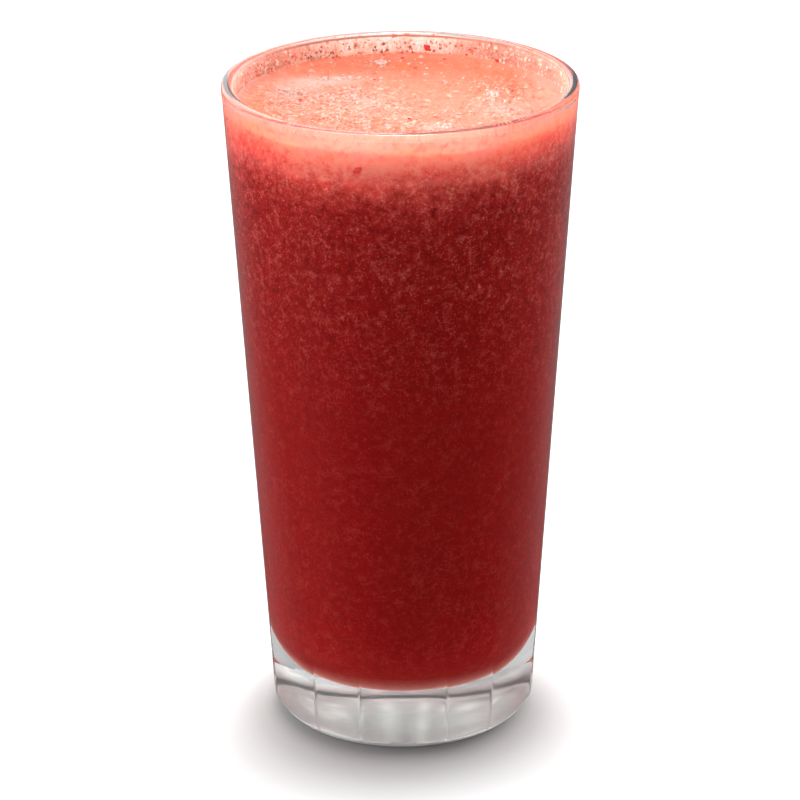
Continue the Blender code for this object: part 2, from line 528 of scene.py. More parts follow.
def bubble_field(x, y, size, seed, crowd):
    """How high domed bubbles in cells of this size stand at each point.

    A cell holds a bubble where its share is under the crowding, an array from 0 to 1. A dome is
    r sqrt(1 - (d/r)^2), with d the distance to the cell's point and r up to half a cell.
    """
    away, share, other = cells(x, y, size, seed)
    reach = size * (0.26 + 0.20 * other)
    dome = np.sqrt(np.clip(1 - (away / reach) ** 2, 0, 1)) * reach
    return np.where(share < crowd, dome, 0)


def froth_surface(x, y):
    """Height over the level, and how foamy, veiled and wet the froth's top is at each point."""
    edge = bore_radius(drink().level)
    near_wall = smooth_step(0.90 * edge, 0.99 * edge, np.hypot(x, y))
    foamy = np.clip(patch_sum(x, y, FOAMY_PATCHES, 13), 0, 1)
    veil = np.clip(0.85 * patch_sum(x, y, VEILS, 17) + 0.12 * near_wall, 0, 1)
    wet = np.clip(patch_sum(x, y, WET_PATCHES, 19), 0, 1)
    rise = 0.00022 * drift(x, y, 0.0075, 41) + 0.00010 * drift(x, y, 0.0025, 43)
    rise += (0.00003 + 0.00010 * foamy) * drift(x, y, 0.0008, 47)
    rise += 0.60 * bubble_field(x, y, 0.0009, 21, 0.06 + 0.70 * foamy)
    rise += 0.50 * bubble_field(x, y, 0.0017, 31, 0.02 + 0.45 * foamy)
    return rise, foamy, veil, wet


def disc_points(radius, count):
    """A square grid drawn out to a disc: x = u sqrt(1 - v^2/2), y = v sqrt(1 - u^2/2)."""
    line = np.linspace(-1, 1, count)
    u, v = np.meshgrid(line, line, indexing="ij")
    return radius * u * np.sqrt(1 - v * v / 2), radius * v * np.sqrt(1 - u * u / 2)


def grid_quads(count):
    i, j = np.meshgrid(np.arange(count - 1), np.arange(count - 1), indexing="ij")
    a = i * count + j
    return np.stack([a, a + count, a + count + 1, a + 1], -1).reshape(-1, 4).tolist()


def grid_border(count):
    """Indices round the edge of a square grid, anticlockwise from above."""
    line = np.arange(count - 1)
    return np.concatenate([
        line * count,
        (count - 1) * count + line,
        (count - 1 - line) * count + count - 1,
        count - 1 - line,
    ])


def film_rows(angles, start, rows=20):
    """The film's inner face: rows of (radius, height) from the froth's edge up the wall.

    It stands off the wall by a thickness that thins towards its top edge, plus domed bubbles.
    Round the glass the arc length stands for x and the height for y. The top edge wanders.
    """
    d = drink()
    along = angles * bore_radius(d.level)
    behind = smooth_step(-0.2, 0.6, np.sin(angles))
    edge = d.film_top + d.film_rise * behind + 0.00012 * drift(along, 0 * along, 0.011, 61)
    share = np.linspace(0, 1, rows + 1)[1:, None]
    height = start + share * (edge - start)
    seam = along + 0 * height
    crowd = np.clip(0.10 + 0.6 * behind - 0.5 * smooth_step(0.6, 0.95, np.cos(angles)), 0.05, 0.9)
    crowd = crowd + 0 * height
    fade = (1 - smooth_step(0.8, 1.0, share)) * smooth_step(0.0, 0.15, share)
    relief = 0.35 * bubble_field(seam, height, 0.0008, 71, crowd) * fade
    relief += 0.40 * bubble_field(seam, height, 0.0014, 73, crowd * 0.6) * fade
    thick = FILM * (1 - 0.75 * smooth_step(0.7, 1.0, share))
    return inner_radius(height) - thick - relief, height


def make_froth(count=241):
    """The froth: a bubbly disc that climbs the wall as a film, and its outer side and foot, with painted
    shade on the film and at the disc's edge.

    The disc's height is the level, plus its relief, plus a rim that climbs by c exp(-d / w),
    with d the distance from the wall.
    """
    top, foot = drink().level, drink().froth_foot
    reach = bore_radius(top) - FILM
    x, y = disc_points(reach, count)
    rise, foamy, veil, wet = froth_surface(x, y)
    border = grid_border(count)
    upper = np.stack([x.ravel(), y.ravel(), (top + rise + wall_climb(x, y)).ravel()], -1)
    turn = np.arctan2(upper[border, 1], upper[border, 0])
    inner_r, inner_z = film_rows(turn, upper[border, 2])
    drop = np.append(np.linspace(0, 0.998, 15) ** 0.8, 1)[:, None]
    outer_z = inner_z[-1] * (1 - drop) + foot * drop
    outer_r = inner_radius(outer_z) + SKIN
    radius, z = np.vstack([inner_r, outer_r]), np.vstack([inner_z, outer_z])
    wall = round_axis(radius, z, turn).reshape(-1, 3)
    points = np.vstack([upper, wall, [[0, 0, foot]]])
    turns, first = len(border), len(upper)
    k = np.arange(turns)
    n = (k + 1) % turns
    hem = np.stack([border[k], border[n], first + n, first + k], -1)
    side = np.array(ring_faces(len(radius), turns, first))[:, ::-1]
    base = np.array(pole_faces(len(radius) - 1, turns, len(points) - 1, first, upper=False))
    faces = grid_quads(count) + hem[:, ::-1].tolist() + side[:, ::-1].tolist() + base.tolist()
    froth = new_object("froth_head", points, faces)
    film, rest = np.ones(inner_r.size), np.zeros(outer_r.size + 1)
    seam = np.broadcast_to(turn * reach, inner_z.shape)
    film_veil = 1.0 + 0.35 * drift(seam, inner_z, 0.0030, 75)
    # Painted shade: the film darker everywhere but at the back, and the froth's edge darker except at the
    # back
    beside = 1 - smooth_step(0.45, 0.98, np.sin(turn)) + 0.35 * smooth_step(0, 0.6, -np.cos(turn))
    beside += 0.8 * smooth_step(0, 0.6, np.cos(turn))
    beside = np.clip(beside, 0, 1)
    disc_edge = smooth_step(0.93, 1.0, np.hypot(x, y) / reach) * (1 - smooth_step(0.25, 0.95, y / reach))
    for name, disc, wall_value in (
        ("foamy", foamy, 0.35 * film),
        ("veil", veil, film_veil.ravel()),
        ("wet", wet, 0 * film),
        ("open", 1 + 0 * wet, film),
        ("painted_shade", 0.9 * disc_edge, np.broadcast_to(beside, inner_z.shape).ravel()),
    ):
        add_attribute(froth, name, np.concatenate([disc.ravel(), wall_value, rest]))
    return froth


def wall_climb(x, y):
    """How far the froth climbs by the wall: 1.1 mm * exp(-d / 1.1 mm)."""
    away = bore_radius(drink().level) - FILM - np.hypot(x, y)
    return 1.1 * MM * np.exp(-away / (1.1 * MM))


def add_attribute(obj, name, values):
    layer = obj.data.attributes.new(name, "FLOAT", "POINT")
    layer.data.foreach_set("value", np.asarray(values, np.float32))


# Bubbles and flecks


# Clusters of bubbles on the froth, as (x, y, reach in x, reach in y) in millimetres and a count
CLUSTERS = (
    (-15.2, 21.5, 4.5, 1.6, 70),
    (-4.8, 34.2, 2.0, 1.2, 40),
    (21.4, 7.5, 1.6, 5.0, 60),
    (8.2, -17.1, 2.2, 2.6, 55),
    (-25.5, 10.7, 3.0, 2.2, 45),
    (-11.0, -10.9, 6.0, 4.0, 60),
    (-12.8, 5.0, 7.0, 5.0, 70),
)


def froth_height(x, y):
    return drink().level + froth_surface(x, y)[0] + wall_climb(x, y)


DOME_END = math.radians(105)  # a dome goes on past its widest, to sink into what carries it
LOOSE_BUBBLES = 200
FILM_BUBBLES = 1300


def make_domes(name, place, normal, size, tint, lift=0.75, rings=4, turns=9):
    """Half bubbles: place + r (sin t (cos a T + sin a B) + lift cos t N), t from 0 to past 90 deg.

    N is the surface's normal, and T and B are two directions square to it.
    """
    side = np.cross(normal, np.where(np.abs(normal[:, 2:]) > 0.8, [[1.0, 0, 0]], [[0, 0, 1.0]]))
    side /= np.linalg.norm(side, axis=1, keepdims=True)
    other = np.cross(normal, side)
    t = np.linspace(0, DOME_END, rings + 1)[1:]
    a = np.linspace(0, 2 * math.pi, turns + 1)[:-1]
    t, a = (part.ravel()[None, :, None] for part in np.meshgrid(t, a, indexing="ij"))
    r = size[:, None, None]
    flat = np.sin(t) * (np.cos(a) * side[:, None] + np.sin(a) * other[:, None])
    body = place[:, None] + r * (flat + lift * np.cos(t) * normal[:, None])
    tip = place[:, None] + r * lift * normal[:, None]
    end = place[:, None] + r * lift * math.cos(DOME_END) * normal[:, None]
    points = np.concatenate([body, tip, end], 1)
    each = points.shape[1]
    count = rings * turns
    quads = np.array(ring_faces(rings, turns))
    fans = np.array(pole_faces(0, turns, count) + pole_faces(rings - 1, turns, count + 1, upper=False))
    first = each * np.arange(len(place))[:, None, None]
    faces = (quads + first).reshape(-1, 4).tolist() + (fans + first).reshape(-1, 3).tolist()
    domes = new_object(name, points.reshape(-1, 3), faces)
    middle = np.concatenate([1 - smooth_step(18, 48, np.degrees(t.ravel())), [1.0, 0.0]])
    add_attribute(domes, "core", np.tile(middle, len(place)))
    add_attribute(domes, "tint", np.repeat(tint, each))
    return domes


def make_bubbles():
    """Bubbles on the froth's top in clusters and at large, and on the film, mostly at the back."""
    top = []
    for index, (cx, cy, rx, ry, count) in enumerate(CLUSTERS):
        i = np.arange(count)
        turn = 2 * math.pi * scatter_share(i, 0, 100 + index)
        reach = np.sqrt(-np.log(0.05 + 0.95 * scatter_share(i, 1, 100 + index)))
        x, y = cx + rx * reach * np.cos(turn), cy + ry * reach * np.sin(turn)
        top.append(np.stack([x, y], -1) * MM)
    i = np.arange(LOOSE_BUBBLES)
    wall = bore_radius(drink().level)
    turn = 2 * math.pi * scatter_share(i, 0, 131)
    reach = (wall - 0.0012) * np.sqrt(scatter_share(i, 0, 137))
    top.append(round_axis(reach, 0, turn)[:, :2])
    top = np.vstack(top)
    top = top[np.hypot(top[:, 0], top[:, 1]) < wall - 0.001]
    top_size = 0.00022 + 0.00026 * scatter_share(np.arange(len(top)), 0, 139) ** 2
    top_place = np.column_stack([top, froth_height(top[:, 0], top[:, 1]) - 0.00004])
    top_normal = np.tile([0.0, 0, 1], (len(top), 1))
    i = np.arange(FILM_BUBBLES)
    turn = math.pi / 2 + math.pi * (2 * scatter_share(i, 0, 149) - 1)
    keep = scatter_share(i, 0, 151) < 0.06 + 0.94 * smooth_step(-0.3, 0.7, np.sin(turn))
    keep &= scatter_share(i, 0, 157) > 0.75 * smooth_step(0.5, 0.95, np.cos(turn))
    turn, i = turn[keep], i[keep]
    height = drink().level + 0.0003 + 0.0038 * scatter_share(i, 0, 163)
    size = 0.00019 + 0.00030 * scatter_share(i, 0, 167) ** 2
    radius = bore_radius(height) - 0.00028
    film_place = round_axis(radius, height, turn)
    film_normal = round_axis(-1, 0, turn)
    place = np.vstack([top_place, film_place])
    normal = np.vstack([top_normal, film_normal])
    top_tint = 0.62 + 0.38 * scatter_share(np.arange(len(top)), 0, 97)
    top_tint = np.where(scatter_share(np.arange(len(top)), 1, 97) < 0.10, 0.2, top_tint)
    tint = np.concatenate([top_tint, scatter_share(i, 0, 98)])
    return make_domes("froth_bubbles", place, normal, np.concatenate([top_size, size]), tint)


# Berry flecks on the wall, as an angle from -Y in degrees, a height and a size, and on top, as
# x, y and size, all lengths in millimetres
WALL_FLECKS = (
    (170.2, 152.5, 0.8),
    (169.3, 152.2, 0.5),
    (170.9, 152.8, 0.45),
    (142.8, 151.3, 0.55),
    (-14.2, 147.0, 0.8),
    (-13.3, 147.4, 0.55),
    (-15.2, 146.6, 0.5),
    (-78.0, 150.0, 0.6),
    (96.0, 144.0, 0.5),
)
TOP_FLECKS = (
    (0.5, 36.2, 0.45),
    (10.5, 35.0, 0.45),
    (-12.2, -3.6, 0.55),
    (26.0, 10.5, 0.5),
    (-23.0, 4.0, 0.45),
    (-6.0, 20.0, 0.4),
    (3.5, 29.0, 0.6),
    (2.0, -10.5, 0.45),
)


def make_flecks():
    """Bits of berry skin: low lumps on the film's inner or outer face and on the froth."""
    turn, height, size = (np.array(part) for part in zip(*WALL_FLECKS))
    turn, height = np.radians(turn) + FRONT, height * MM
    behind = np.sin(turn) > 0.2
    radius = bore_radius(height) + np.where(behind, -0.0004, -0.00005)
    place = round_axis(radius, height, turn)
    normal = round_axis(np.where(behind, -1, 1), 0, turn)
    x, y, top_size = (np.array(part) * MM for part in zip(*TOP_FLECKS))
    place = np.vstack([place, np.column_stack([x, y, froth_height(x, y)])])
    normal = np.vstack([normal, np.tile([0.0, 0, 1], (len(x), 1))])
    sizes = np.concatenate([size * MM, top_size])
    return make_domes("berry_flecks", place, normal, sizes, 0 * sizes, lift=0.35, rings=5, turns=12)


# Materials


def new_tree(name):
    made = bpy.data.materials.new(name)
    made.use_nodes = True
    tree = made.node_tree
    return made, tree, tree.nodes["Principled BSDF"]


def add(tree, kind, inputs=None, **settings):
    """A node with these settings. An input is a value, or an output socket that feeds it."""
    made = tree.nodes.new("ShaderNode" + kind)
    for name, value in settings.items():
        setattr(made, name, value)
    for name, value in (inputs or {}).items():
        feed(tree, made.inputs[name], value)
    return made


def feed(tree, socket, value):
    """Link an output to the socket, or set the socket's own value. A colour is opaque."""
    if isinstance(value, bpy.types.NodeSocket):
        tree.links.new(value, socket)
    elif socket.type == "RGBA":
        socket.default_value = (*value, 1.0)
    else:
        socket.default_value = value


def maths(tree, operation, a, b=0.0, clamp=False):
    return add(tree, "Math", {0: a, 1: b}, operation=operation, use_clamp=clamp).outputs[0]


def times(tree, a, b, clamp=False):
    return maths(tree, "MULTIPLY", a, b, clamp)


def plus(tree, a, b):
    return maths(tree, "ADD", a, b)


def mixed(tree, share, a, b, blend="MIX"):
    """Colour a turned towards colour b by the share."""
    made = add(tree, "Mix", data_type="RGBA", blend_type=blend)
    for name, value in (("Factor_Float", share), ("A_Color", a), ("B_Color", b)):
        socket = next(s for s in made.inputs if s.identifier == name)
        feed(tree, socket, value)
    return next(s for s in made.outputs if s.identifier == "Result_Color")


def ramp(tree, share, stops, interpolation="LINEAR"):
    """A colour for each share, from stops of (place, red, green, blue)."""
    made = add(tree, "ValToRGB", {0: share})
    band = made.color_ramp
    band.interpolation = interpolation
    while len(band.elements) < len(stops):
        band.elements.new(0.5)
    for element, (place, *colour) in zip(band.elements, stops):
        element.position = place
        element.color = (*colour, 1.0)
    return made.outputs[0]


def mapped(tree, value, low, high, out_low=0.0, out_high=1.0):
    made = add(tree, "MapRange", {0: value, 1: low, 2: high, 3: out_low, 4: out_high})
    return made.outputs[0]


def noise(tree, place, scale, detail=2.0, roughness=0.5):
    made = add(tree, "TexNoise", {"Vector": place, "Scale": scale, "Detail": detail, "Roughness": roughness})
    return made.outputs["Fac"]


def scaled(tree, value, low, high):
    """A share from 0 to 1 turned into low to high."""
    return plus(tree, times(tree, value, high - low), low)


def object_place(tree):
    return add(tree, "TexCoord").outputs["Object"]


def split(tree, place):
    """The X, Y and Z of a place, by name."""
    return add(tree, "SeparateXYZ", {0: place}).outputs


def attribute(tree, name):
    """A value that the mesh carries at each of its points."""
    return add(tree, "Attribute", attribute_name=name).outputs["Fac"]


def dress(tree, shader, inputs):
    """Give the shader's own sockets these values, or feed them from these outputs."""
    for name, value in inputs.items():
        feed(tree, shader.inputs[name], value)


def bump(tree, height, strength, distance):
    made = add(tree, "Bump", {"Height": height, "Strength": strength, "Distance": distance})
    return made.outputs["Normal"]


def glass_finish():
    """Clear pressed glass, its surface very slightly wavy."""
    made, tree, shader = new_tree("clear_pressed_glass")
    dress(tree, shader, {
        "Base Color": (0.965, 0.982, 0.974),
        "IOR": 1.5,
        "Transmission Weight": 1.0,
        "Roughness": 0.0,
        "Normal": bump(tree, noise(tree, object_place(tree), 90.0, 1.0), 0.06, 0.001),
    })
    return made


def underside_finish():
    """The stippled underside, its colour painted with light and shade: seen through the foot as soft white
    and grey patches, and a little cooler at the back against the red light from the juice.
    """
    made, tree, shader = new_tree("stippled_underside_painted_light")
    place = object_place(tree)
    grain = scaled(tree, noise(tree, place, 260.0, 2.0, 0.6), -0.12, 0.12)
    grey = ramp(tree, plus(tree, attribute(tree, "underside_painted_light"), grain), (
        (0.00, 0.0, 0.0, 0.0),
        (1.00, 0.92, 1.0, 1.0),
    ))
    # Painted cooler towards the back, to cancel the red light from the juice
    behind = mapped(tree, split(tree, place)["Y"], 0.010, 0.028)
    grey = mixed(tree, behind, grey, (0.93, 1.0, 1.0), "MULTIPLY")
    dress(tree, shader, {"Base Color": grey, "Transmission Weight": 0.5, "IOR": 1.5, "Roughness": 0.7})
    return made


def blobs(tree, place, scale, share, reach, soft):
    """Round spots in some of the cells of this scale: a share of the cells, out to a reach."""
    cell = add(tree, "TexVoronoi", {"Vector": place, "Scale": scale})
    number = add(tree, "SeparateColor", {0: cell.outputs["Color"]}).outputs[0]
    chosen = maths(tree, "LESS_THAN", number, share)
    disc = mapped(tree, cell.outputs["Distance"], reach + soft, reach)
    return times(tree, chosen, disc)


def drink_against_glass(tree, place):
    """Pale froth, then coral, then deep red down the side, with a ragged edge and pulp grain.

    The red colours reach a little higher at the two sides and on the right than in front, which is
    painted shade, and the froth band is painted darker at the two sides and the upper juice darker
    on the right. Pale grain is fine specks and a few curved strands, and both grains fade low down
    and in the froth.
    """
    parts = split(tree, place)
    height = parts["Z"]
    side = mapped(tree, maths(tree, "ABSOLUTE", parts["X"]), 0.014, 0.032)
    ragged = scaled(tree, noise(tree, place, 330.0, 4.0, 0.65), -0.0045, 0.0045)
    broad = scaled(tree, noise(tree, place, 75.0, 1.0), -0.0030, 0.0030)
    level = plus(tree, height, plus(tree, ragged, broad))
    right = mapped(tree, parts["X"], 0.010, 0.034)
    # Painted shade: the colour bands sit lower, so the colours are darker, at the two sides and on the right
    lower = plus(tree, scaled(tree, side, 0.0, 0.0014), scaled(tree, right, 0.0, 0.0008))
    level = maths(tree, "SUBTRACT", level, lower)
    d = drink()
    stops = (
        (0.1100, *d.deep),
        (0.1253, 0.310, 0.0058, 0.0044),
        (0.1324, 0.330, 0.0080, 0.0065),
        (0.1361, 0.380, 0.0130, 0.0110),
        (0.1392, 0.480, 0.0310, 0.0260),
        (0.1418, 0.680, 0.0600, 0.0500),
        (0.1439, 0.930, 0.0900, 0.0680),
        (0.1454, 0.970, 0.1450, 0.1050),
        (0.1470, 0.990, 0.2200, 0.1550),
        (0.1485, 0.990, 0.3200, 0.2250),
        (0.1501, 0.980, 0.3600, 0.2650),
        (0.1516, 0.960, 0.3450, 0.3000),
        (0.1530, 0.960, 0.3600, 0.3200),
        (0.1560, 0.970, 0.3800, 0.3400),
    )
    low, high = stops[0][0], stops[-1][0]
    stops = [((z - low) / (high - low), *colour) for z, *colour in stops]
    body = ramp(tree, mapped(tree, level, low, high), stops)
    body = mixed(tree, mapped(tree, height, 0.1534, 0.1548), body, (0.84, 0.27, 0.21))
    # Painted shade: the froth band darker and redder at the two sides, the upper juice darker on the right
    side_painted_shade = times(tree, side, mapped(tree, height, 0.1460, 0.1490))
    body = mixed(tree, side_painted_shade, body, (0.94, 0.82, 0.82), "MULTIPLY")
    shaded = times(tree, right, mapped(tree, height, 0.125, 0.140))
    body = mixed(tree, shaded, body, (0.84, 0.94, 0.94), "MULTIPLY")
    fibre = noise(tree, place, 620.0, 4.0, 0.68)
    speck = noise(tree, place, 2100.0, 2.0, 0.6)
    strand = maths(tree, "ABSOLUTE", maths(tree, "SUBTRACT", noise(tree, place, 430.0, 2.5, 0.6), 0.5))
    upper = mapped(tree, height, 0.085, 0.142)
    froth = mapped(tree, level, 0.1500, 0.1455, 0.35, 1.0)
    lit = mapped(tree, fibre, 0.54, 0.74, 0.0, 0.7)
    lit = plus(tree, lit, mapped(tree, speck, 0.58, 0.68, 0.0, 0.8))
    sparse = mapped(tree, noise(tree, place, 240.0, 2.0), 0.44, 0.60)
    lit = plus(tree, lit, times(tree, sparse, mapped(tree, strand, 0.050, 0.008, 0.0, 0.5)))
    lit = times(tree, times(tree, lit, scaled(tree, upper, 0.15, 0.74)), froth, clamp=True)
    dim = times(tree, mapped(tree, fibre, 0.49, 0.36), scaled(tree, upper, 0.45, 0.90))
    dim = times(tree, dim, froth)
    coral = mapped(tree, level, 0.1380, 0.1465)
    pale = mixed(tree, coral, d.pulp, (0.99, 0.42, 0.31))
    dark = mixed(tree, coral, (0.185, 0.003, 0.003), (0.86, 0.085, 0.055))
    return mixed(tree, dim, mixed(tree, lit, body, pale), dark)


def juice_finish():
    """Dark berry red, paler and coarser under the froth, with fine pulp grain, a painted pale band low down
    for the light that comes in from the clear foot, and a sole painted pale grey so that the foot, which
    mirrors it, looks grey.
    """
    made, tree, shader = new_tree("berry_juice_body")
    place = object_place(tree)
    height = split(tree, place)["Z"]
    colour = drink_against_glass(tree, place)
    # Painted light: a pale salmon band low down, where light from the clear foot comes into the juice
    edge = times(tree, mapped(tree, height, 0.0175, 0.0128), 0.45)
    colour = mixed(tree, edge, colour, (0.72, 0.22, 0.16))
    # Painted reflection: the sole is pale grey, so that the foot, which mirrors it, looks grey and not red
    colour = mixed(tree, mapped(tree, height, 0.0127, 0.0124), colour, (0.86, 0.80, 0.77))
    dress(tree, shader, {
        "Base Color": colour,
        "Roughness": 0.45,
        "IOR": 1.34,
        "Specular IOR Level": 0.1,
        "Sheen Weight": 0.8,
        "Sheen Roughness": 0.25,
        "Sheen Tint": (1.0, 0.62, 0.54),
    })
    return made


def froth_finish():
    """Salmon foam, its bubbles, specks and wet patches laid out by the attributes of the mesh."""
    made, tree, shader = new_tree("berry_froth")
    place = object_place(tree)
    parts = split(tree, place)
    height = parts["Z"]
    names = ("foamy", "veil", "wet", "open", "painted_shade")
    foamy, veil, wet, open_top, painted_shade = (attribute(tree, name) for name in names)
    # A small warp, so that the round spots come out ragged
    warp = add(tree, "TexNoise", {"Vector": place, "Scale": 900.0, "Detail": 1.0}).outputs["Color"]
    shift = add(tree, "VectorMath", {0: warp, 1: (-0.5, -0.5, -0.5)}, operation="ADD").outputs[0]
    shift = add(tree, "VectorMath", {0: shift, "Scale": 0.0016}, operation="SCALE").outputs[0]
    bent = add(tree, "VectorMath", {0: place, 1: shift}, operation="ADD").outputs[0]
    # Smooth foam, wetter or veiled in places, the film that clings to the wall, and painted shade on the film
    # and at the froth's edge
    mottle = noise(tree, place, 480.0, 4.0, 0.7)
    d = drink()
    base = ramp(tree, mottle, (
        (0.30, 0.98 * d.foam[0], 0.75 * d.foam[1], 0.70 * d.foam[2]),
        (0.50, *d.foam),
        (0.70, 1.00 * d.foam[0], 1.28 * d.foam[1], 1.42 * d.foam[2]),
    ))
    base = mixed(tree, times(tree, wet, 0.80), base, d.orange)
    upper = mapped(tree, height, 0.1510, 0.1518)
    clinging = mixed(tree, upper, (0.93, 0.66, 0.58), (0.85, 0.88, 0.87))
    base = mixed(tree, times(tree, veil, 0.80), base, clinging)
    # Painted shade on the film and at the froth's edge, all but at the back
    base = mixed(tree, painted_shade, base, (0.40, 0.20, 0.155))
    # Pale bubbles and red spots in two sizes, then grit, dark dots and a dark band at the film's top edge at
    # the back
    large = blobs(tree, bent, 620.0, scaled(tree, foamy, 0.02, 0.52), 0.30, 0.20)
    small = blobs(tree, bent, 1150.0, scaled(tree, foamy, 0.04, 0.45), 0.30, 0.20)
    pale = maths(tree, "MAXIMUM", large, small)
    top = mixed(tree, times(tree, pale, 0.85), base, d.white)
    large = blobs(tree, bent, 640.0, scaled(tree, foamy, 0.03, 0.30), 0.28, 0.20)
    small = blobs(tree, bent, 1250.0, scaled(tree, foamy, 0.07, 0.20), 0.26, 0.20)
    coral = maths(tree, "MAXIMUM", large, small)
    top = mixed(tree, times(tree, coral, 0.80), top, d.coral)
    grit = noise(tree, place, 1300.0, 3.0, 0.7)
    rough_part = scaled(tree, foamy, 0.14, 0.80)
    low_grit = times(tree, mapped(tree, grit, 0.47, 0.36), rough_part)
    high_grit = times(tree, mapped(tree, grit, 0.56, 0.70), rough_part)
    top = mixed(tree, low_grit, top, (0.84, 0.17, 0.10))
    top = mixed(tree, high_grit, top, d.white)
    dots = blobs(tree, place, 1150.0, 0.06, 0.15, 0.10)
    top = mixed(tree, times(tree, dots, 0.75), top, (0.33, 0.09, 0.05))
    dark_film_edge = times(tree, mapped(tree, height, 0.15495, 0.15510), mapped(tree, height, 0.15560, 0.15540))
    dark_film_edge = times(tree, dark_film_edge, mapped(tree, parts["Y"], 0.0, 0.012))
    top = mixed(tree, times(tree, dark_film_edge, 0.85), top, (0.32, 0.12, 0.08))
    side = drink_against_glass(tree, place)
    film = mapped(tree, height, 0.1488, 0.1514)
    dress(tree, shader, {
        "Base Color": mixed(tree, open_top, side, top),
        "Roughness": 0.35,
        "IOR": 1.34,
        "Subsurface Weight": mapped(tree, height, 0.1435, 0.1465),
        "Subsurface Radius": mixed(tree, film, (1.0, 0.6, 0.5), (0.24, 0.17, 0.15)),
        "Subsurface Scale": 0.008,
        "Normal": bump(tree, noise(tree, place, 1700.0, 2.0), 0.7, 0.0003),
    })
    return made


def bubble_finish():
    """Glossy bubble walls: a pale ring round a dark middle, some bubbles nearly white."""
    made, tree, shader = new_tree("berry_bubbles")
    core, tint = attribute(tree, "core"), attribute(tree, "tint")
    wall = ramp(tree, tint, (
        (0.00, 0.94, 0.40, 0.29),
        (0.60, 0.95, 0.52, 0.40),
        (1.00, 0.97, 0.78, 0.70),
    ))
    dark = times(tree, core, mapped(tree, tint, 0.65, 0.35, 0.0, 0.9))
    colour = mixed(tree, dark, wall, (0.34, 0.030, 0.012))
    dress(tree, shader, {"Base Color": colour, "Roughness": 0.15, "IOR": 1.38})
    return made


def fleck_finish():
    """Bright red berry skin, wet."""
    made, tree, shader = new_tree("berry_skin")
    colour = ramp(tree, noise(tree, object_place(tree), 900.0, 2.0), (
        (0.35, *(0.75 * c for c in drink().skin)),
        (0.65, *(min(1.0, 1.2 * c) for c in drink().skin)),
    ))
    dress(tree, shader, {"Base Color": colour, "Roughness": 0.25, "IOR": 1.4})
    return made


def paint(obj, *finishes):
    obj.data.materials.clear()
    for finish in finishes:
        obj.data.materials.append(finish)


def choose_faces(obj, chosen):
    """Give the second finish to the faces whose middles the function picks, as x, y and z."""
    middles = np.zeros(3 * len(obj.data.polygons))
    obj.data.polygons.foreach_get("center", middles)
    picked = chosen(*middles.reshape(-1, 3).T)
    obj.data.polygons.foreach_set("material_index", picked.astype(np.int32))


# Operators, one for each piece


class JuiceOperator:
    """What the operators share."""

    bl_options = {"REGISTER", "UNDO"}


class JUICE_OT_tumbler(JuiceOperator, bpy.types.Operator):
    """Add the pressed glass tumbler"""

    bl_idname = "juice.tumbler"
    bl_label = "Tumbler"

    def execute(self, context):
        glass = make_tumbler()
        paint(glass, glass_finish(), underside_finish())
        foot = tumbler().foot - 0.0010
        choose_faces(glass, lambda x, y, z: (np.hypot(x, y) < foot) & (z < UNDERSIDE_TOP))
        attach(glass, "root")
        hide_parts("glass")
        return {"FINISHED"}


class JUICE_OT_juice(JuiceOperator, bpy.types.Operator):
    """Add the juice up to the froth"""

    bl_idname = "juice.juice"
    bl_label = "Juice"

    def execute(self, context):
        body = make_juice()
        paint(body, juice_finish())
        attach(body, "root")
        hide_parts("juice")
        return {"FINISHED"}


class JUICE_OT_froth(JuiceOperator, bpy.types.Operator):
    """Add the head of froth and the film above it"""

    bl_idname = "juice.froth"
    bl_label = "Froth"

    def execute(self, context):
        finish = froth_finish()
        froth = make_froth()
        paint(froth, finish)
        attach(froth, "root")
        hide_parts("froth")
        return {"FINISHED"}


class JUICE_OT_bubbles(JuiceOperator, bpy.types.Operator):
    """Add the bubbles on the froth and on the film"""

    bl_idname = "juice.bubbles"
    bl_label = "Bubbles"

    def execute(self, context):
        bubbles = make_bubbles()
        paint(bubbles, bubble_finish())
        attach(bubbles, "root")
        return {"FINISHED"}


class JUICE_OT_flecks(JuiceOperator, bpy.types.Operator):
    """Add the bits of berry skin"""

    bl_idname = "juice.flecks"
    bl_label = "Berry Flecks"

    def execute(self, context):
        flecks = make_flecks()
        paint(flecks, fleck_finish())
        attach(flecks, "root")
        return {"FINISHED"}


class JUICE_OT_stage(JuiceOperator, bpy.types.Operator):
    """Add the floor, the light and the camera"""

    bl_idname = "juice.stage"
    bl_label = "Stage"

    def execute(self, context):
        make_floor()
        make_world()
        make_lights()
        make_camera()
        return {"FINISHED"}


# The studio


FLOOR_REACH = 4.0
# The floor's contact shadow is painted into its colour; these place and size it
SHADE_SHIFT = 0.0011  # how far left of the glass the contact shade is centred
SHADE_START = 0.0265  # radius at which the shade is darkest
SHADE_WIDTH = 0.020


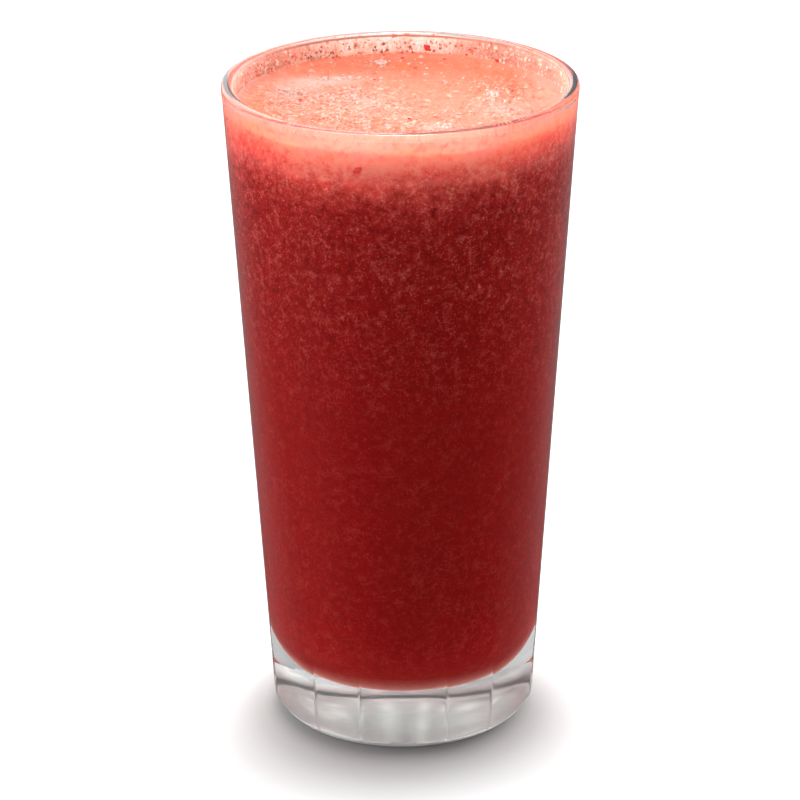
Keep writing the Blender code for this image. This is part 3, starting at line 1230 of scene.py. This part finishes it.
def make_floor():
    """A pale floor, with a contact shadow painted into its colour, a little cool to cancel the red light from
    the juice, and wider by 1 + 0.9 c^2 in front.

    c is the cosine of the angle from the front, or 0 behind.
    """
    corner = FLOOR_REACH * np.array([(-1, -1, 0), (1, -1, 0), (1, 1, 0), (-1, 1, 0)])
    floor = new_object("floor", corner, [(0, 1, 2, 3)], smooth=False)
    made, tree, shader = new_tree("white_floor")
    parts = split(tree, object_place(tree))
    across = plus(tree, parts["X"], SHADE_SHIFT)
    flat = add(tree, "CombineXYZ", {0: across, 1: parts["Y"]}).outputs[0]
    away = add(tree, "VectorMath", {0: flat}, operation="LENGTH").outputs["Value"]
    ahead = maths(tree, "DIVIDE", parts["Y"], times(tree, away, -1.0))
    ahead = maths(tree, "MAXIMUM", ahead, 0.0)
    spread = scaled(tree, times(tree, ahead, ahead), 1.0, 1.9)
    shade = maths(tree, "DIVIDE", maths(tree, "SUBTRACT", away, SHADE_START), spread)
    # Painted contact shadow: darkest by the glass, and slightly cool there
    colour = ramp(tree, mapped(tree, shade, 0.0, SHADE_WIDTH), (
        (0.00, 0.26, 0.26, 0.26),
        (0.10, 0.355, 0.36, 0.36),
        (0.15, 0.45, 0.46, 0.46),
        (0.22, 0.56, 0.57, 0.57),
        (0.30, 0.63, 0.64, 0.64),
        (0.40, 0.68, 0.69, 0.69),
        (0.49, 0.74, 0.75, 0.75),
        (0.60, 0.80, 0.81, 0.81),
        (0.70, 0.84, 0.85, 0.85),
        (0.85, 0.90, 0.91, 0.91),
        (1.00, 0.95, 0.95, 0.95),
    ))
    dress(tree, shader, {"Base Color": colour, "Roughness": 1.0, "Specular IOR Level": 0.0})
    paint(floor, made)
    floor.visible_glossy = False
    floor.visible_transmission = False


# The brightness round the horizon, by degrees from the camera's side, to the right, and the
# heights, as the sine of the elevation, between which each band fades. LIGHTING lights the drink
# and the floor. SHOWING is what shows through clear glass, and MIRRORED what glossy surfaces
# mirror: a dim studio with bright panels.
TURNS = (-180, -140, -105, -70, -35, 0, 35, 70, 105, 140, 180)
HEIGHTS = (-0.03, 0.10, 0.45, 0.80, 1.0)
LIGHTING = {
    0: (1.1, 1.1, 1.1, 1.1, 1.1, 1.1, 1.1, 1.1, 1.1, 1.1, 1.1),
    1: (0.0, 20.0, 22.0, 17.0, 0.0, 0.0, 0.0, 2.0, 18.0, 35.0, 0.0),
    2: (0.0, 0.0, 0.0, 0.0, 0.0, 2.6, 0.0, 0.0, 0.0, 0.0, 0.0),
    3: (3.6, 0.0, 0.0, 0.0, 0.0, 0.0, 0.0, 0.0, 0.0, 0.0, 3.6),
}
SHOWING = {
    0: (0.60, 0.60, 0.90, 2.60, 3.00, 3.00, 3.00, 2.60, 0.80, 0.48, 0.60),
    1: (0.95, 0.85, 0.80, 0.60, 0.50, 0.50, 0.50, 0.50, 0.60, 0.45, 0.50),
    2: (0.95, 0.90, 0.90, 0.70, 0.60, 0.60, 0.60, 0.70, 0.80, 0.60, 0.60),
    3: (1.00, 1.00, 1.00, 0.90, 0.80, 0.80, 0.80, 0.90, 1.00, 1.00, 1.00),
    4: (1.00,) * 11,
}
MIRRORED = {
    0: (0.21, 0.20, 0.050, 0.06, 0.0, 0.0, 0.0, 0.0, 0.05, 0.19, 0.21),
    1: (2.40, 2.40, 0.40, 0.25, 0.25, 0.25, 0.25, 0.25, 0.30, 0.50, 0.70),
    2: (2.40, 2.40, 0.60, 0.35, 0.35, 0.35, 0.35, 0.35, 0.40, 0.50, 0.70),
    3: (0.80, 0.80, 0.45, 0.45, 0.45, 0.45, 0.45, 0.45, 0.45, 0.60, 0.80),
    4: (0.45,) * 11,
}


def sky_bands(tree, parts, bands):
    """The sum over bands of a ramp round the horizon times a ramp up the sky."""
    front = times(tree, parts["Y"], -1.0)
    turn = mapped(tree, maths(tree, "ARCTAN2", parts["X"], front), -math.pi, math.pi)
    up = mapped(tree, parts["Z"], -1.0, 1.0)
    total = 0.0
    for level, values in bands.items():
        most = max(values)
        around = ramp(tree, turn, [((t + 180) / 360, *3 * (v / most,)) for t, v in zip(TURNS, values)])
        stops = [(0.0, *3 * (float(level == 0),))]
        stops += [((h + 1) / 2, *3 * (float(i == level),)) for i, h in enumerate(HEIGHTS)]
        part = times(tree, around, ramp(tree, up, stops))
        total = plus(tree, total, times(tree, part, most))
    return total


def make_world():
    """White to the camera, LIGHTING to matt surfaces, SHOWING through glass, MIRRORED in gloss."""
    world = bpy.data.worlds.new("studio")
    bpy.context.scene.world = world
    world.use_nodes = True
    tree = world.node_tree
    parts = split(tree, add(tree, "TexCoord").outputs["Generated"])
    path = add(tree, "LightPath").outputs
    clear = maths(tree, "MAXIMUM", path["Is Glossy Ray"], path["Is Transmission Ray"])
    clear = times(tree, clear, maths(tree, "LESS_THAN", path["Diffuse Depth"], 0.5))
    mirrored, showing = sky_bands(tree, parts, MIRRORED), sky_bands(tree, parts, SHOWING)
    showing = mixed(tree, path["Is Transmission Ray"], mirrored, showing)
    light = mixed(tree, clear, sky_bands(tree, parts, LIGHTING), showing)
    shown = mixed(tree, path["Is Camera Ray"], light, (1.0, 1.0, 1.0))
    tree.links.new(shown, tree.nodes["Background"].inputs["Color"])


def make_lights():
    """One soft light overhead, a little behind the glass."""
    data = bpy.data.lights.new("overhead", "AREA")
    data.shape = "DISK"
    data.size = 0.45
    data.energy = studio().key
    light = bpy.data.objects.new("overhead", data)
    away, tilt = 1.4, math.radians(6)
    light.location = (0.0, away * math.sin(tilt), away * math.cos(tilt))
    light.rotation_euler = (-light.location).to_track_quat("-Z", "Y").to_euler()
    bpy.context.scene.collection.objects.link(light)


def make_camera():
    s = studio()
    data = bpy.data.cameras.new("camera")
    data.lens = s.lens
    data.sensor_width = 36.0
    data.clip_start, data.clip_end = 0.05, 20.0
    camera = bpy.data.objects.new("camera", data)
    back = Vector((0, -math.cos(s.elevation), math.sin(s.elevation)))
    place = Vector((0, 0, s.aim)) + back * s.distance
    level = (-back).to_track_quat("-Z", "Y").to_matrix()
    turn = level @ Matrix.Rotation(-s.pan, 3, "Y") @ Matrix.Rotation(s.roll, 3, "Z")
    camera.matrix_world = Matrix.Translation(place) @ turn.to_4x4()
    bpy.context.scene.collection.objects.link(camera)
    bpy.context.scene.camera = camera
    bpy.context.scene.view_settings.view_transform = "Standard"


class JUICE_PT_panel(bpy.types.Panel):
    """Lists the pieces and their sizes"""

    bl_idname = "JUICE_PT_panel"
    bl_label = "Mixed Berry Juice"
    bl_space_type = "VIEW_3D"
    bl_region_type = "UI"
    bl_category = "Juice"

    def draw(self, context):
        for operator in OPERATORS:
            self.layout.operator(operator.bl_idname)
        for settings in (tumbler(), drink(), studio()):
            box = self.layout.box()
            for name in settings.__annotations__:
                box.prop(settings, name)


SETTINGS = (
    ("juice_tumbler", TumblerSettings),
    ("juice_drink", DrinkSettings),
    ("juice_studio", StudioSettings),
)
OPERATORS = (
    JUICE_OT_tumbler,
    JUICE_OT_juice,
    JUICE_OT_froth,
    JUICE_OT_bubbles,
    JUICE_OT_flecks,
    JUICE_OT_stage,
)


def register():
    for name, settings in SETTINGS:
        bpy.utils.register_class(settings)
        setattr(bpy.types.Scene, name, PointerProperty(type=settings))
    for operator in OPERATORS:
        bpy.utils.register_class(operator)
    bpy.utils.register_class(JUICE_PT_panel)


def unregister():
    bpy.utils.unregister_class(JUICE_PT_panel)
    for operator in reversed(OPERATORS):
        bpy.utils.unregister_class(operator)
    for name, settings in reversed(SETTINGS):
        delattr(bpy.types.Scene, name)
        bpy.utils.unregister_class(settings)


def main():
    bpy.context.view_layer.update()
    register()
    bpy.ops.juice.tumbler()
    bpy.ops.juice.juice()
    bpy.ops.juice.froth()
    bpy.ops.juice.bubbles()
    bpy.ops.juice.flecks()
    bpy.ops.juice.stage()


if __name__ == "__main__":
    main()
